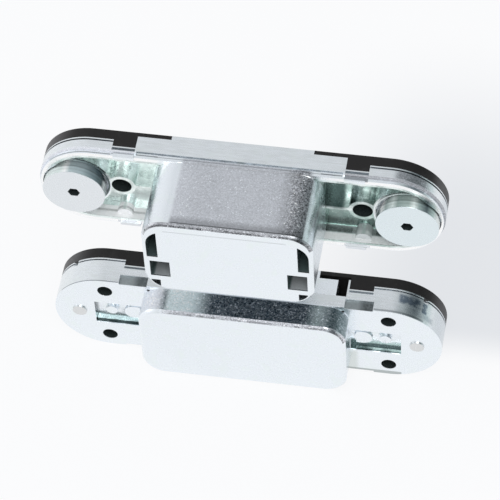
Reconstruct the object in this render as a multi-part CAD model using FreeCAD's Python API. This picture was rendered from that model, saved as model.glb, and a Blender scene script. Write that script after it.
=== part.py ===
"""Concealed invisible door hinge, three-way adjustable, standing fully open.

Sizes are in millimetres. While the pieces are made, X runs along the hinge, +Y is the way the
visible front faces look, and +Z points from the frame half to the door half. The origin of that
working frame is the centre of the frame half's front face. The finished pieces are then moved so
that the hinge stands on the frame half's long edge, over the origin.
"""
import FreeCAD, Part
import cmath
import math
import os

from FreeCAD import Vector

os.makedirs("parts", exist_ok=True)

# Both halves; a name that ends in from_end is a distance from the plate's end
plate_length = 111.0
plate_width = 30.0
open_height = 53.8           # centre to centre of the two halves at 180 degrees
closed_gap_width = 4.0       # between the two front faces at 0 degrees
mouth_from_end = 39.9
mouth_side_wall = 1.7
box_corner_radius = 6.5
back_bevel_depth = 0.85
lip_width = 0.45             # metal left between a cap's edge and the groove under it
groove_width = 0.45
groove_depth = 0.45

# Door half
door_box_from_end = 32.5
door_box_side_inset = 0.5
door_box_depth = 29.5
door_floor = 1.5
door_flange_depth = 8.3
door_wall_depth = 7.2
door_shoulder_depth = 6.4
door_shoulder_from_end = 27.6
door_tier_inset = 0.4
door_centre_from_end = 36.2
door_pocket_wall = 1.2
door_column_radius = 2.2
door_ledge_start_depth = 7.4
door_ledge_end_depth = 8.9
door_ledge_thickness = 1.0
door_ledge_inset = 0.1
door_ledge_short = 0.7
door_tab_groove_width = 0.9
door_rim_wall = 1.1
door_window_from_end = (39.6, 34.2)
door_window_z = (-8.25, -1.85)
door_window_depth = 7.0
door_slot_from_end = (36.6, 33.4)
door_slot_z = (0.0, 11.1)
door_slot_depth = 16.0
door_slot_corner_radius = 5.5
door_notch_from_end = (36.7, 34.2)
door_notch_z = (-12.8, -10.1)
door_notch_depth = 5.5
door_screw_from_end = 22.5
door_screw_hole_radius = 2.75
door_screw_boss_radius = 3.85
door_screw_boss_depth = 6.9
rib_thickness = 1.1

# Foot screws of the door half
foot_from_end = 10.0
foot_radius = 8.6
foot_back_depth = 10.85
foot_disc_thickness = 2.6
foot_collar_radius = 7.9
foot_collar_thickness = 2.2
foot_stem_radius = 4.0
foot_stem_end_depth = 2.0
foot_socket_gap = 0.35
foot_ring_wall = 1.0
foot_ring_depth = 6.9
foot_thread_wall = 1.5
foot_thread_depth = 5.1
hex_across_flats = 3.0
hex_depth = 5.5

# Frame half
frame_plane_depth = 11.7
frame_box_from_end = 26.1
frame_box_depth = 19.9
frame_box_floor = 1.5
frame_box_wall = 1.6
frame_wall_top_depth = 7.9   # where the carrier's shoulder rests on the housing's walls
frame_centre_from_end = 35.8
carrier_from_end = 30.4
carrier_shoulder_depth = 2.5
end_block_from_end = 27.5
blade_top_depth = 2.1
frame_screw_from_end = 15.14
frame_screw_from_side = 4.69
frame_screw_hole_radius = 2.15
frame_screw_sink_radius = 4.1
frame_screw_sink_depth = 3.0
window_start_from_end = 26.0
window_end_from_end = 11.6
window_width = 9.46
window_depth = 2.1
tongue_thickness = 1.6
tongue_root_length = 4.5     # how far it reaches into the carrier
arch_start_from_end = 24.5
arch_length = 2.0
arch_width = 5.2
arch_height = 1.0
height_screw_from_end = 16.2
height_screw_radius = 1.7
height_head_radius = 3.3
height_head_thickness = 2.4
height_head_sink_depth = 0.6
height_hex_depth = 1.8
screw_gap = 0.1
stake_from_end = 7.1
stake_radius = 2.05
stake_stand_height = 0.35
stake_cover_thickness = 2.0
side_recess_end_from_end = 19.5
side_recess_height = 3.0
side_recess_depth = 0.6
frame_tab_groove_width = 0.65
rim_notch_from_end = (6.2, 4.3)
rim_notch_height = 1.6
rim_notch_from_side = 4.0

# Black end caps
cap_thickness = 1.3
cap_skirt_thickness = 1.2
door_cap_skirt_depth = 3.1
door_cap_tab_from_end = (27.1, 20.8)
door_cap_tab_depth = 5.3
frame_cap_skirt_depth = 3.4
frame_cap_tab_from_end = (26.95, 20.1)
frame_cap_tab_depth = 5.2

# Arms, pins and tracks
centre_washer_thickness = 0.6
pivot_washer_thickness = 0.7
inner_arm_share = 0.4336     # of the room for arms on one side of the middle
arm_width = 3.7
boss_radius = 2.75
washer_radius = 2.6
pin_radius = 1.75
pin_gap = 0.05
pin_hold_length = 3.9
pin_end_gap = 0.1
roller_radius = 2.4
roller_length = 2.2
roller_wall_gap = 0.3
roller_end_gap = 0.3
track_lead_length = 0.5      # how far a track's cut reaches into the mouth

# Linkage at 180 degrees: depths are behind the front faces, heights from a half's centre
frame_pivot_depth = 12.8
frame_pivot_height = 7.4
door_pivot_depth = 16.0
door_pivot_drop = 10.0
centre_front_distance = 2.3
centre_above_middle = 0.6
inner_tail_depth = 5.7       # in the frame half
inner_tail_height = 10.3
outer_tail_depth = 8.6       # in the door half
outer_tail_drop = 8.8

# Bends of the arms at 180 degrees, as (y, z) from the centre of one half's front face
outer_bends_frame = ((-9.8, 7.1), (-5.8, 5.4), (-0.8, 5.4), (2.3, 7.8), (2.9, 11.8), (3.0, 24.4))
outer_bends_door = ((2.4, -13.2), (1.2, -10.8), (-7.0, -10.2))
inner_bends_door = ((-10.9, -4.1), (-7.7, -2.3), (-2.5, -2.3), (0.0, -4.9), (0.5, -9.1),
                    (3.0, -12.3), (3.1, -24.3))
inner_bends_frame = ((2.3, 12.7), (0.8, 10.3))


def along(from_end):
    """X of a place at the +X end, given by its distance from the plate's end."""
    return plate_length / 2.0 - from_end


mouth_half_length = along(mouth_from_end)
mouth_half_width = plate_width / 2.0 - mouth_side_wall
door_box_half_length = along(door_box_from_end)
door_box_half_width = plate_width / 2.0 - door_box_side_inset
door_screw_x = along(door_screw_from_end)
foot_x = along(foot_from_end)
end_block_start = along(end_block_from_end)
carrier_half_length = along(carrier_from_end)
window_start = along(window_start_from_end)
window_end = along(window_end_from_end)
height_screw_x = along(height_screw_from_end)
stake_x = along(stake_from_end)
arm_room = mouth_half_length - centre_washer_thickness - pivot_washer_thickness
inner_arm_half_length = arm_room * inner_arm_share
outer_arm_start = inner_arm_half_length + centre_washer_thickness
outer_arm_end = mouth_half_length - pivot_washer_thickness

DOOR = complex(0, open_height)
frame_pivot = complex(-frame_pivot_depth, frame_pivot_height)
door_pivot = complex(-door_pivot_depth, -door_pivot_drop)
centre_pivot = complex(centre_front_distance, open_height / 2.0 + centre_above_middle)
outer_tail = DOOR + complex(-outer_tail_depth, -outer_tail_drop) - centre_pivot
inner_tail = complex(-inner_tail_depth, inner_tail_height) - centre_pivot

HALF_TURN = math.pi
edge_tolerance = 1e-4
ROUND = plate_width / 2.0


def solve_linkage():
    """Turning shares of the two arms, so that the faces end parallel, closed_gap_width apart."""
    pivot_door = DOOR + door_pivot
    outer = centre_pivot - frame_pivot
    inner = pivot_door - centre_pivot
    reach = closed_gap_width - door_pivot - frame_pivot
    a, b, c = abs(outer), abs(inner), abs(reach)
    at_outer = math.acos((a * a + c * c - b * b) / (2 * a * c))
    at_inner = math.acos((b * b + c * c - a * a) / (2 * b * c))
    turn_outer = (cmath.phase(outer) - cmath.phase(reach) + at_outer) % (2 * math.pi)
    turn_inner = (cmath.phase(inner) - cmath.phase(reach) - at_inner) % (2 * math.pi)
    return turn_outer / HALF_TURN, turn_inner / HALF_TURN


OUTER_SHARE, INNER_SHARE = solve_linkage()


def turned(vector, share, angle):
    """A place vector after the door has closed by angle, for a link with that share."""
    return vector * cmath.exp(-1j * share * angle)


def centre_at(angle):
    return frame_pivot + turned(centre_pivot - frame_pivot, OUTER_SHARE, angle)


def door_origin_at(angle):
    reach = DOOR + door_pivot - centre_pivot
    return centre_at(angle) + turned(reach, INNER_SHARE, angle) - turned(door_pivot, 1.0, angle)


def inner_tail_at(angle):
    """Place of the inner arm's tail pin in the frame half."""
    return centre_at(angle) + turned(inner_tail, INNER_SHARE, angle)


def outer_tail_at(angle):
    """Place of the outer arm's tail pin in the door half."""
    tail = centre_at(angle) + turned(outer_tail, OUTER_SHARE, angle)
    return (tail - door_origin_at(angle)) * cmath.exp(1j * angle)


def box(x0, x1, y0, y1, z0, z1):
    corner = Vector(min(x0, x1), min(y0, y1), min(z0, z1))
    return Part.makeBox(abs(x1 - x0), abs(y1 - y0), abs(z1 - z0), corner)


def rod_y(x, z, radius, y0, y1):
    return Part.makeCylinder(radius, abs(y1 - y0), Vector(x, min(y0, y1), z), Vector(0, 1, 0))


def rod_x(place, radius, x0, x1):
    start = Vector(min(x0, x1), place.real, place.imag)
    return Part.makeCylinder(radius, abs(x1 - x0), start, Vector(1, 0, 0))


def rounded_plate(half_x, half_z, radius, y0, y1):
    """A rounded rectangle in X and Z, from y0 to y1; with radius = half_z it is an obround."""
    straight_x = half_x - radius
    straight_z = half_z - radius
    body = box(-straight_x, straight_x, y0, y1, -half_z, half_z)
    if straight_z > 0:
        body = body.fuse(box(-half_x, half_x, y0, y1, -straight_z, straight_z))
    for x in (-straight_x, straight_x):
        for z in {-straight_z, straight_z}:
            body = body.fuse(rod_y(x, z, radius, y0, y1))
    return body.removeSplitter()


def obround(y0, y1, inset=0.0):
    return rounded_plate(plate_length / 2.0 - inset, ROUND - inset, ROUND - inset, y0, y1)


def bevelled_box(half_x, half_z, y_back, y_front):
    body = rounded_plate(half_x, half_z, box_corner_radius, y_back, y_front)
    return body.makeChamfer(back_bevel_depth, back_rim(body, -y_back))


def both_sides(make):
    """The same cut or lump at +X and mirrored at -X."""
    right = make()
    return right.fuse(right.mirror(Vector(0, 0, 0), Vector(1, 0, 0)))


def band(places, half, x0, x1):
    """A bar of even width with round ends along a route of (y, z) places, from x0 to x1."""
    bar = rod_x(places[0], half, x0, x1)
    for first, second in zip(places, places[1:]):
        side = (second - first) / abs(second - first) * 1j * half
        corners = [first + side, second + side, second - side, first - side]
        loop = [Vector(x0, c.real, c.imag) for c in corners + corners[:1]]
        slab = Part.Face(Part.makePolygon(loop)).extrude(Vector(x1 - x0, 0, 0))
        bar = bar.fuse(slab).fuse(rod_x(second, half, x0, x1))
    return bar


def roller_track(place_at):
    """The slot that one roller sweeps on its way, in the cheek at +X."""
    steps = 8
    places = [place_at(HALF_TURN * step / steps) for step in range(steps + 1)]
    end = mouth_half_length + roller_length + roller_end_gap
    return band(places, roller_radius + roller_wall_gap, mouth_half_length - track_lead_length, end)


def hex_bar(x, z, across, y0, y1):
    radius = across / 2.0 / math.cos(math.radians(30))
    points = []
    for degrees in range(0, 361, 60):
        angle = math.radians(degrees)
        points.append(Vector(x + radius * math.cos(angle), y0, z + radius * math.sin(angle)))
    return Part.Face(Part.makePolygon(points)).extrude(Vector(0, y1 - y0, 0))


def back_rim(shape, depth):
    """The edges that lie in the plane at that depth behind the front."""
    return [e for e in shape.Edges if abs(e.BoundBox.YMax + depth) < edge_tolerance]


def cap_shape(inner_end, skirt_depth, tab_from_end, tab_depth):
    """Right-hand black cap: a thin bar, a skirt round the end and a clip tab on each long side."""
    far = plate_length
    tab_start, tab_end = [along(distance) for distance in tab_from_end]
    top = obround(-cap_thickness, 0).common(box(inner_end, far, -cap_thickness, 0, -ROUND, ROUND))
    skirt = obround(-skirt_depth, -cap_thickness)
    skirt = skirt.cut(obround(-skirt_depth, 0, cap_skirt_thickness))
    skirt = skirt.common(box(tab_end, far, -skirt_depth, 0, -ROUND, ROUND))
    cap = top.fuse(skirt)
    for side in (-1, 1):
        inner_z = side * (ROUND - cap_skirt_thickness)
        cap = cap.fuse(box(tab_start, tab_end, -tab_depth, 0, inner_z, side * ROUND))
    return cap.removeSplitter()


def shadow_grooves(skirt_depth, tab_from_end, tab_depth, tab_groove_width):
    """The groove round one end below the cap's skirt, and the one below each clip tab."""
    far = plate_length
    tab_start, tab_end = [along(distance) for distance in tab_from_end]
    y1 = -skirt_depth - lip_width
    y0 = y1 - groove_width
    grooves = obround(y0, y1).cut(obround(y0, y1, groove_depth))
    grooves = grooves.common(box(tab_end, far, y0, y1, -ROUND, ROUND))
    y1 = -tab_depth - lip_width
    y0 = y1 - tab_groove_width
    for side in (-1, 1):
        inner_z = side * (ROUND - groove_depth)
        grooves = grooves.fuse(box(tab_start, tab_end, y0, y1, inner_z, side * ROUND))
    return grooves


def door_cap():
    return cap_shape(along(door_centre_from_end), door_cap_skirt_depth, door_cap_tab_from_end,
                     door_cap_tab_depth)


def frame_cap():
    return cap_shape(along(frame_centre_from_end), frame_cap_skirt_depth, frame_cap_tab_from_end,
                     frame_cap_tab_depth)


def door_pocket():
    """The cast hollow behind one end of the door flange, with what stands in it left out."""
    floor_y = -cap_thickness - door_floor
    back = -door_flange_depth
    start = door_box_half_length - box_corner_radius
    inset = cap_skirt_thickness + door_pocket_wall
    hollow = obround(back, floor_y, inset)
    hollow = hollow.common(box(start, plate_length, back, floor_y, -ROUND, ROUND))
    hollow = hollow.cut(rounded_plate(door_box_half_length, door_box_half_width,
                                      box_corner_radius, back, floor_y))
    ring_radius = foot_radius + foot_socket_gap + foot_ring_wall
    ring = rod_y(foot_x, 0, ring_radius, -foot_ring_depth, floor_y)
    boss = rod_y(door_screw_x, 0, door_screw_boss_radius, -door_screw_boss_depth, floor_y)
    rib = box(start, foot_x, -door_screw_boss_depth, floor_y, -rib_thickness / 2, rib_thickness / 2)
    hollow = hollow.cut(ring).cut(boss).cut(rib)
    for side in (-1, 1):
        column_z = side * (ROUND - inset)
        hollow = hollow.cut(rod_y(door_screw_x, column_z, door_column_radius,
                                  -door_screw_boss_depth, floor_y))
    return hollow


def foot_socket():
    """The round well of one foot screw, with its threaded collar left standing."""
    floor_y = -cap_thickness - door_floor
    well = rod_y(foot_x, 0, foot_radius + foot_socket_gap, -door_flange_depth, floor_y)
    collar_radius = foot_stem_radius + foot_thread_wall
    well = well.cut(rod_y(foot_x, 0, collar_radius, -foot_thread_depth, floor_y))
    return well.fuse(rod_y(foot_x, 0, foot_stem_radius + pin_gap, -door_flange_depth, 0))


def door_back_openings():
    """The three openings at one end of the box's back, past the arms' cheek."""
    back = -door_box_depth

    def opening(from_end, z, depth):
        x0, x1 = [along(distance) for distance in from_end]
        return box(x0, x1, back, back + depth, z[0], z[1])

    window = opening(door_window_from_end, door_window_z, door_window_depth)
    slot = opening(door_slot_from_end, door_slot_z, door_slot_depth)
    notch = opening(door_notch_from_end, door_notch_z, door_notch_depth)
    half_x = door_box_half_length - door_rim_wall
    slot = slot.common(rounded_plate(half_x, door_slot_z[1], door_slot_corner_radius, back, 0))
    keep = rounded_plate(half_x, door_box_half_width - door_rim_wall,
                         box_corner_radius - door_rim_wall, back, 0)
    return window.fuse(notch).common(keep).fuse(slot)


def door_ledges():
    """Small raised ledges on the flange's back edge, behind each clip tab."""
    tab_start, tab_end = [along(distance) for distance in door_cap_tab_from_end]
    outer_z = ROUND - door_ledge_inset
    ledge = box(tab_start, tab_end - door_ledge_short, -door_ledge_end_depth,
                -door_ledge_start_depth, outer_z - door_ledge_thickness, outer_z)
    return ledge.fuse(ledge.mirror(Vector(0, 0, 0), Vector(0, 0, 1)))


def door_flange():
    """The flange's wall in two tiers, stepped in at the back, with its raised shoulders."""
    shoulder_x = along(door_shoulder_from_end)
    inner_z = ROUND - door_tier_inset
    flange = obround(-door_wall_depth, 0)
    for side in (-1, 1):
        flange = flange.cut(box(-shoulder_x, shoulder_x, -door_wall_depth, -door_shoulder_depth,
                                side * inner_z, side * ROUND))
    return flange.fuse(obround(-door_flange_depth, -door_wall_depth, door_tier_inset))


def door_body():
    body = door_flange().fuse(bevelled_box(door_box_half_length, door_box_half_width,
                                           -door_box_depth, -door_wall_depth))
    body = body.fuse(both_sides(door_ledges))
    body = body.cut(both_sides(door_cap))
    body = body.cut(both_sides(lambda: shadow_grooves(door_cap_skirt_depth, door_cap_tab_from_end,
                                                      door_cap_tab_depth, door_tab_groove_width)))
    body = body.cut(both_sides(door_pocket))
    body = body.cut(both_sides(foot_socket))
    body = body.cut(both_sides(lambda: rod_y(door_screw_x, 0, door_screw_hole_radius,
                                             -door_flange_depth, 0)))
    body = body.cut(both_sides(door_back_openings))
    body = body.cut(box(-mouth_half_length, mouth_half_length, -door_box_depth + door_floor, 0,
                        -mouth_half_width, mouth_half_width))
    body = body.cut(pin_bore(door_pivot))
    body = body.cut(both_sides(lambda: roller_track(outer_tail_at)))
    return body.removeSplitter()


def pin_bore(place):
    """The blind bore that holds a pivot pin's two ends."""
    end = mouth_half_length + pin_hold_length + pin_end_gap
    return rod_x(place, pin_radius + pin_gap, -end, end)


def foot_screw():
    disc_front = -foot_back_depth + foot_disc_thickness
    collar_front = disc_front + foot_collar_thickness
    screw = rod_y(foot_x, 0, foot_radius, -foot_back_depth, disc_front)
    screw = screw.fuse(rod_y(foot_x, 0, foot_collar_radius, disc_front, collar_front))
    screw = screw.fuse(rod_y(foot_x, 0, foot_stem_radius, collar_front, -foot_stem_end_depth))
    socket = hex_bar(foot_x, 0, hex_across_flats, -foot_back_depth, -foot_back_depth + hex_depth)
    return screw.cut(socket)


def end_block():
    """The solid end of the frame casting at +X, before the holes."""
    far = plate_length
    block = obround(-frame_plane_depth, 0)
    return block.common(box(end_block_start, far, -frame_plane_depth, 0, -ROUND, ROUND))


def head_seat():
    """Where the height screw's head sits."""
    return -cap_thickness - height_head_sink_depth - height_head_thickness


def frame_end_cuts():
    """Holes, window, seat for the tongue and hollow behind the cap, at +X."""
    back = -frame_plane_depth
    half_window = window_width / 2.0
    screw_x = along(frame_screw_from_end)
    recess_end = along(side_recess_end_from_end)
    cuts = []
    for side in (-1, 1):
        screw_z = side * (ROUND - frame_screw_from_side)
        seat = -cap_thickness - frame_screw_sink_depth
        cuts.append(rod_y(screw_x, screw_z, frame_screw_hole_radius, back, 0))
        cuts.append(rod_y(screw_x, screw_z, frame_screw_sink_radius, seat, 0))
        recess_z = side * (ROUND - side_recess_depth)
        cuts.append(box(end_block_start, recess_end, back, back + side_recess_height,
                        recess_z, side * ROUND))
    cuts.append(box(window_start, window_end, back, back + window_depth,
                    -half_window, half_window))
    tongue_y = back + window_depth
    cuts.append(box(carrier_half_length, window_end, tongue_y, tongue_y + tongue_thickness,
                    -half_window, half_window))
    cuts.append(rod_y(height_screw_x, 0, height_screw_radius + screw_gap, back, 0))
    cuts.append(rod_y(height_screw_x, 0, height_head_radius + screw_gap, head_seat(), 0))
    cuts.append(rod_y(stake_x, 0, stake_radius, back, -cap_thickness - stake_cover_thickness))
    notch_start, notch_end = [along(distance) for distance in rim_notch_from_end]
    notch_y = -frame_cap_skirt_depth - rim_notch_height
    cuts.append(box(notch_start, notch_end, notch_y, -frame_cap_skirt_depth,
                    ROUND - rim_notch_from_side, ROUND))
    cuts.append(shadow_grooves(frame_cap_skirt_depth, frame_cap_tab_from_end,
                               frame_cap_tab_depth, frame_tab_groove_width))
    whole = cuts[0]
    for cut in cuts[1:]:
        whole = whole.fuse(cut)
    return whole


def frame_housing():
    """End blocks joined by the closed back box and its two long walls: one casting."""
    back = -frame_box_depth
    plane = -frame_plane_depth
    wall_top = -frame_wall_top_depth
    body = bevelled_box(along(frame_box_from_end), ROUND, back, plane)
    body = body.fuse(box(-end_block_start, end_block_start, plane, wall_top, -ROUND, ROUND))
    body = body.fuse(both_sides(end_block))
    hollow = rounded_plate(end_block_start, ROUND - frame_box_wall,
                           box_corner_radius - frame_box_wall, back + frame_box_floor, plane)
    hollow = hollow.fuse(box(-end_block_start, end_block_start, plane, wall_top,
                             frame_box_wall - ROUND, ROUND - frame_box_wall))
    body = body.cut(hollow)
    body = body.cut(both_sides(frame_cap))
    body = body.cut(both_sides(lambda: box(end_block_start, window_start, -blade_top_depth, 0,
                                           -ROUND, ROUND)))
    body = body.cut(both_sides(frame_end_cuts))
    return body.removeSplitter()


def frame_carrier():
    """The middle casting that holds the arms: a ring in front and two deep cheeks."""
    rest = -frame_wall_top_depth
    deep = -frame_box_depth + frame_box_floor
    centre_x = along(frame_centre_from_end)
    ring = box(-centre_x, centre_x, rest, 0, -ROUND, ROUND)
    ring = ring.fuse(box(-carrier_half_length, carrier_half_length, rest,
                         -carrier_shoulder_depth, -ROUND, ROUND))
    cheek_z = ROUND - frame_box_wall
    cheeks = rounded_plate(carrier_half_length, cheek_z, box_corner_radius - frame_box_wall,
                           deep, rest)
    body = ring.fuse(cheeks)
    body = body.cut(box(-mouth_half_length, mouth_half_length, rest, 0,
                        -mouth_half_width, mouth_half_width))
    body = body.cut(box(-mouth_half_length, mouth_half_length, deep, rest, -ROUND, ROUND))
    body = body.cut(pin_bore(frame_pivot))
    body = body.cut(both_sides(lambda: roller_track(inner_tail_at)))
    body = body.cut(both_sides(tongue_slot))
    return body.removeSplitter()


def tongue_slot():
    """Where one tongue is let into the carrier."""
    y0 = -frame_plane_depth + window_depth
    half = window_width / 2.0
    return box(carrier_half_length - tongue_root_length, carrier_half_length,
               y0, y0 + tongue_thickness, -half, half)


def height_tongue():
    """Plate that ties the carrier to one end block, with a raised arch in the window."""
    y0 = -frame_plane_depth + window_depth
    y1 = y0 + tongue_thickness
    half = window_width / 2.0
    plate = box(carrier_half_length - tongue_root_length, window_end, y0, y1, -half, half)
    arch_start = along(arch_start_from_end)
    arch_end = arch_start + arch_length
    low = y0 - arch_height
    arch = box(arch_start, arch_end, low, y0, -arch_width / 2.0, arch_width / 2.0)
    arch = arch.fuse(rod_y(arch_end, 0, arch_width / 2.0, low, y0))
    plate = plate.fuse(arch)
    plate = plate.cut(rod_y(height_screw_x, 0, height_screw_radius, low, y1))
    return plate.removeSplitter()


def height_screw():
    """Clamp screw of one tongue: its head is under the cap, its end shows in the window."""
    end = -frame_plane_depth + window_depth - arch_height
    top = head_seat() + height_head_thickness
    shank = rod_y(height_screw_x, 0, height_screw_radius, end, head_seat())
    head = rod_y(height_screw_x, 0, height_head_radius, head_seat(), top)
    socket = hex_bar(height_screw_x, 0, hex_across_flats, top - height_hex_depth, top)
    return shank.fuse(head).cut(socket)


def stake():
    """Stem swaged over in the end block."""
    low = -frame_plane_depth - stake_stand_height
    return rod_y(stake_x, 0, stake_radius, low, -cap_thickness - stake_cover_thickness)


def in_frame(bends):
    """Bends given from the frame half's centre, as places."""
    return [complex(y, z) for y, z in bends]


def in_door(bends):
    """Bends given from the door half's centre, as places."""
    return [DOOR + complex(y, z) for y, z in bends]


def drilled_arm(route, eyes, x0, x1):
    """A cranked arm with a bored boss at each of its eyes."""
    arm = band(route, arm_width / 2.0, x0, x1)
    for place in eyes:
        arm = arm.fuse(rod_x(place, boss_radius, x0, x1))
    for place in eyes:
        arm = arm.cut(rod_x(place, pin_radius + pin_gap, x0, x1))
    return arm.removeSplitter()


def outer_arm():
    eyes = [frame_pivot, centre_pivot, centre_pivot + outer_tail]
    route = [eyes[0]] + in_frame(outer_bends_frame) + [eyes[1]]
    route += in_door(outer_bends_door) + [eyes[2]]
    return drilled_arm(route, eyes, outer_arm_start, outer_arm_end)


def inner_arm():
    eyes = [DOOR + door_pivot, centre_pivot, centre_pivot + inner_tail]
    route = [eyes[0]] + in_door(inner_bends_door) + [eyes[1]]
    route += in_frame(inner_bends_frame) + [eyes[2]]
    return drilled_arm(route, eyes, -inner_arm_half_length, inner_arm_half_length)


def washer(place, x0, x1):
    ring = rod_x(place, washer_radius, x0, x1)
    return ring.cut(rod_x(place, pin_radius + pin_gap, x0, x1))


def roller(place, x0):
    ring = rod_x(place, roller_radius, x0, x0 + roller_length)
    return ring.cut(rod_x(place, pin_radius, x0, x0 + roller_length))


def pieces():
    """Every node's name and solid, in the working frame."""
    door = Vector(0, 0, open_height)
    mirror = (Vector(0, 0, 0), Vector(1, 0, 0))
    made = {}

    def add(name, shape, on_door=False):
        if on_door:
            shape.translate(door)
        made[name] = shape

    def add_pair(name, right, on_door=False):
        add(name + "_left", right.mirror(*mirror), on_door)
        add(name + "_right", right, on_door)

    add("frame_housing", frame_housing())
    add("frame_carrier", frame_carrier())
    add_pair("frame_cap", frame_cap())
    add_pair("height_tongue", height_tongue())
    add_pair("height_screw", height_screw())
    add_pair("stake", stake())
    add("door_body", door_body(), True)
    add_pair("door_cap", door_cap(), True)
    add_pair("foot_screw", foot_screw(), True)
    add_pair("outer_arm", outer_arm())
    add("inner_arm", inner_arm())
    hold = mouth_half_length + pin_hold_length
    door_place = DOOR + door_pivot
    tail_hold = mouth_half_length + roller_length
    add("frame_pivot_pin", rod_x(frame_pivot, pin_radius, -hold, hold))
    add("door_pivot_pin", rod_x(door_place, pin_radius, -hold, hold))
    add("centre_pin", rod_x(centre_pivot, pin_radius, -outer_arm_end, outer_arm_end))
    outer_place = centre_pivot + outer_tail
    inner_place = centre_pivot + inner_tail
    add("door_slide_pin", rod_x(outer_place, pin_radius, -tail_hold, tail_hold))
    add("frame_slide_pin", rod_x(inner_place, pin_radius, -tail_hold, tail_hold))
    add_pair("door_roller", roller(outer_place, mouth_half_length))
    add_pair("frame_roller", roller(inner_place, mouth_half_length))
    add_pair("centre_washer", washer(centre_pivot, inner_arm_half_length, outer_arm_start))
    add_pair("pivot_washer", washer(frame_pivot, outer_arm_end, mouth_half_length))
    return made


def main():
    made = pieces()
    whole = Part.makeCompound(list(made.values()))
    bounds = whole.optimalBoundingBox(True, False)
    base = Vector(0, -(bounds.YMin + bounds.YMax) / 2.0, -bounds.ZMin)
    for name, shape in made.items():
        shape.translate(base)
        shape.exportStep("parts/" + name + ".step")
    print("moved by", base)
    print("shares of the arms", OUTER_SHARE, INNER_SHARE)


main()
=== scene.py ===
"""Looks of a concealed door hinge that stands fully open, backs to the camera, on a pale table.

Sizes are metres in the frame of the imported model: +X along the hinge, +Y out of the visible
front faces, +Z from the frame half up to the door half.
"""
import math

import bpy
from bpy.props import FloatProperty, FloatVectorProperty, PointerProperty
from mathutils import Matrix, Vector


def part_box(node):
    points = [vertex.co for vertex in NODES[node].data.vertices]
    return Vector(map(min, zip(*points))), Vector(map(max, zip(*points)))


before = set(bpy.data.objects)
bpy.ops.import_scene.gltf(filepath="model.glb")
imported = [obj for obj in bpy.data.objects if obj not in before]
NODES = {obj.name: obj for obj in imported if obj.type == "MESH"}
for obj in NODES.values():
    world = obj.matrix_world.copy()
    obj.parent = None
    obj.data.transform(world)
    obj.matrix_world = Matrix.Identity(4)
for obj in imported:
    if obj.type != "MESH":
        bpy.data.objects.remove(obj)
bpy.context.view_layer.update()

bl_info = {
    "name": "Concealed door hinge",
    "version": (1, 0, 0),
    "blender": (4, 5, 0),
    "location": "3D View > Sidebar > Hinge",
    "description": "Finishes, stage and camera for a concealed door hinge",
    "category": "Object",
}

MM = 0.001

DOOR_LOW, DOOR_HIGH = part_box("door_body")
FRAME_LOW, FRAME_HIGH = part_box("frame_housing")
FRONT = DOOR_HIGH.y
DOOR_MIDDLE = (DOOR_LOW.z + DOOR_HIGH.z) / 2
FRAME_MIDDLE = (FRAME_LOW.z + FRAME_HIGH.z) / 2

# Places on the castings in mm, as in the part: depths are from the front faces
DOOR_FLANGE = 8.3
DOOR_BACK = 29.5
DOOR_BOX_END = 23.0
DOOR_SCREW = (33.0, 0.0, 2.75)
DOOR_FLOOR = 2.8
FOOT = 45.5
FOOT_RADIUS = 8.6
FOOT_NECK = 7.9
FOOT_SOCKET = (FOOT, 0.0, 1.75)
FRAME_PLANE = 11.7
FRAME_BACK = 19.9
FRAME_BOX_END = 29.4
FRAME_SCREW = (40.36, 10.31, 2.15)
CORNER = 6.5
END_CENTRE = 40.5

# Ends of ranges that are open: beyond the hinge, and just before the front or the middle
FAR = 99.0
NEAR = -1.0
# Round the halves' sides, by distance from the line between the round ends' centres
SIDE = (14.25, FAR)
# The ledges of the door half's lower side, by height
LEDGE = (-15.1, -13.6)

CAST_GRAIN = 0.24
SWELL_HEIGHT = 0.30 * MM
GRAIN_HEIGHT = 0.02 * MM
CAST_HEIGHT = 0.04 * MM
MOULD_HEIGHT = 0.03 * MM
TURNED_HEIGHT = 0.01 * MM
WELD_GAP = 0.001 * MM
BEVEL_ANGLE = math.radians(35)
WHITE = (1.0, 1.0, 1.0)

TABLE_SIZE = 3.0
LAMP_AIM = Vector((0, 0, 0.03))
CAMERA_PLACE = (0.109107, -0.480990, 0.706985)
CAMERA_TURN = (36.921, 2.399, 9.308)
CAMERA_LENS = 216.0


def length(name, default, text):
    return FloatProperty(name=name, description=text, default=default, subtype="DISTANCE",
                         unit="LENGTH", precision=5)


def share(name, default, text):
    return FloatProperty(name=name, description=text, default=default, min=0.0, max=1.0)


def power(name, default, text):
    return FloatProperty(name=name, description=text, default=default, subtype="POWER",
                         unit="POWER")


def colour(name, default, text):
    return FloatVectorProperty(name=name, description=text, default=default, size=3,
                               subtype="COLOR", min=0.0, max=1.0)


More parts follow.
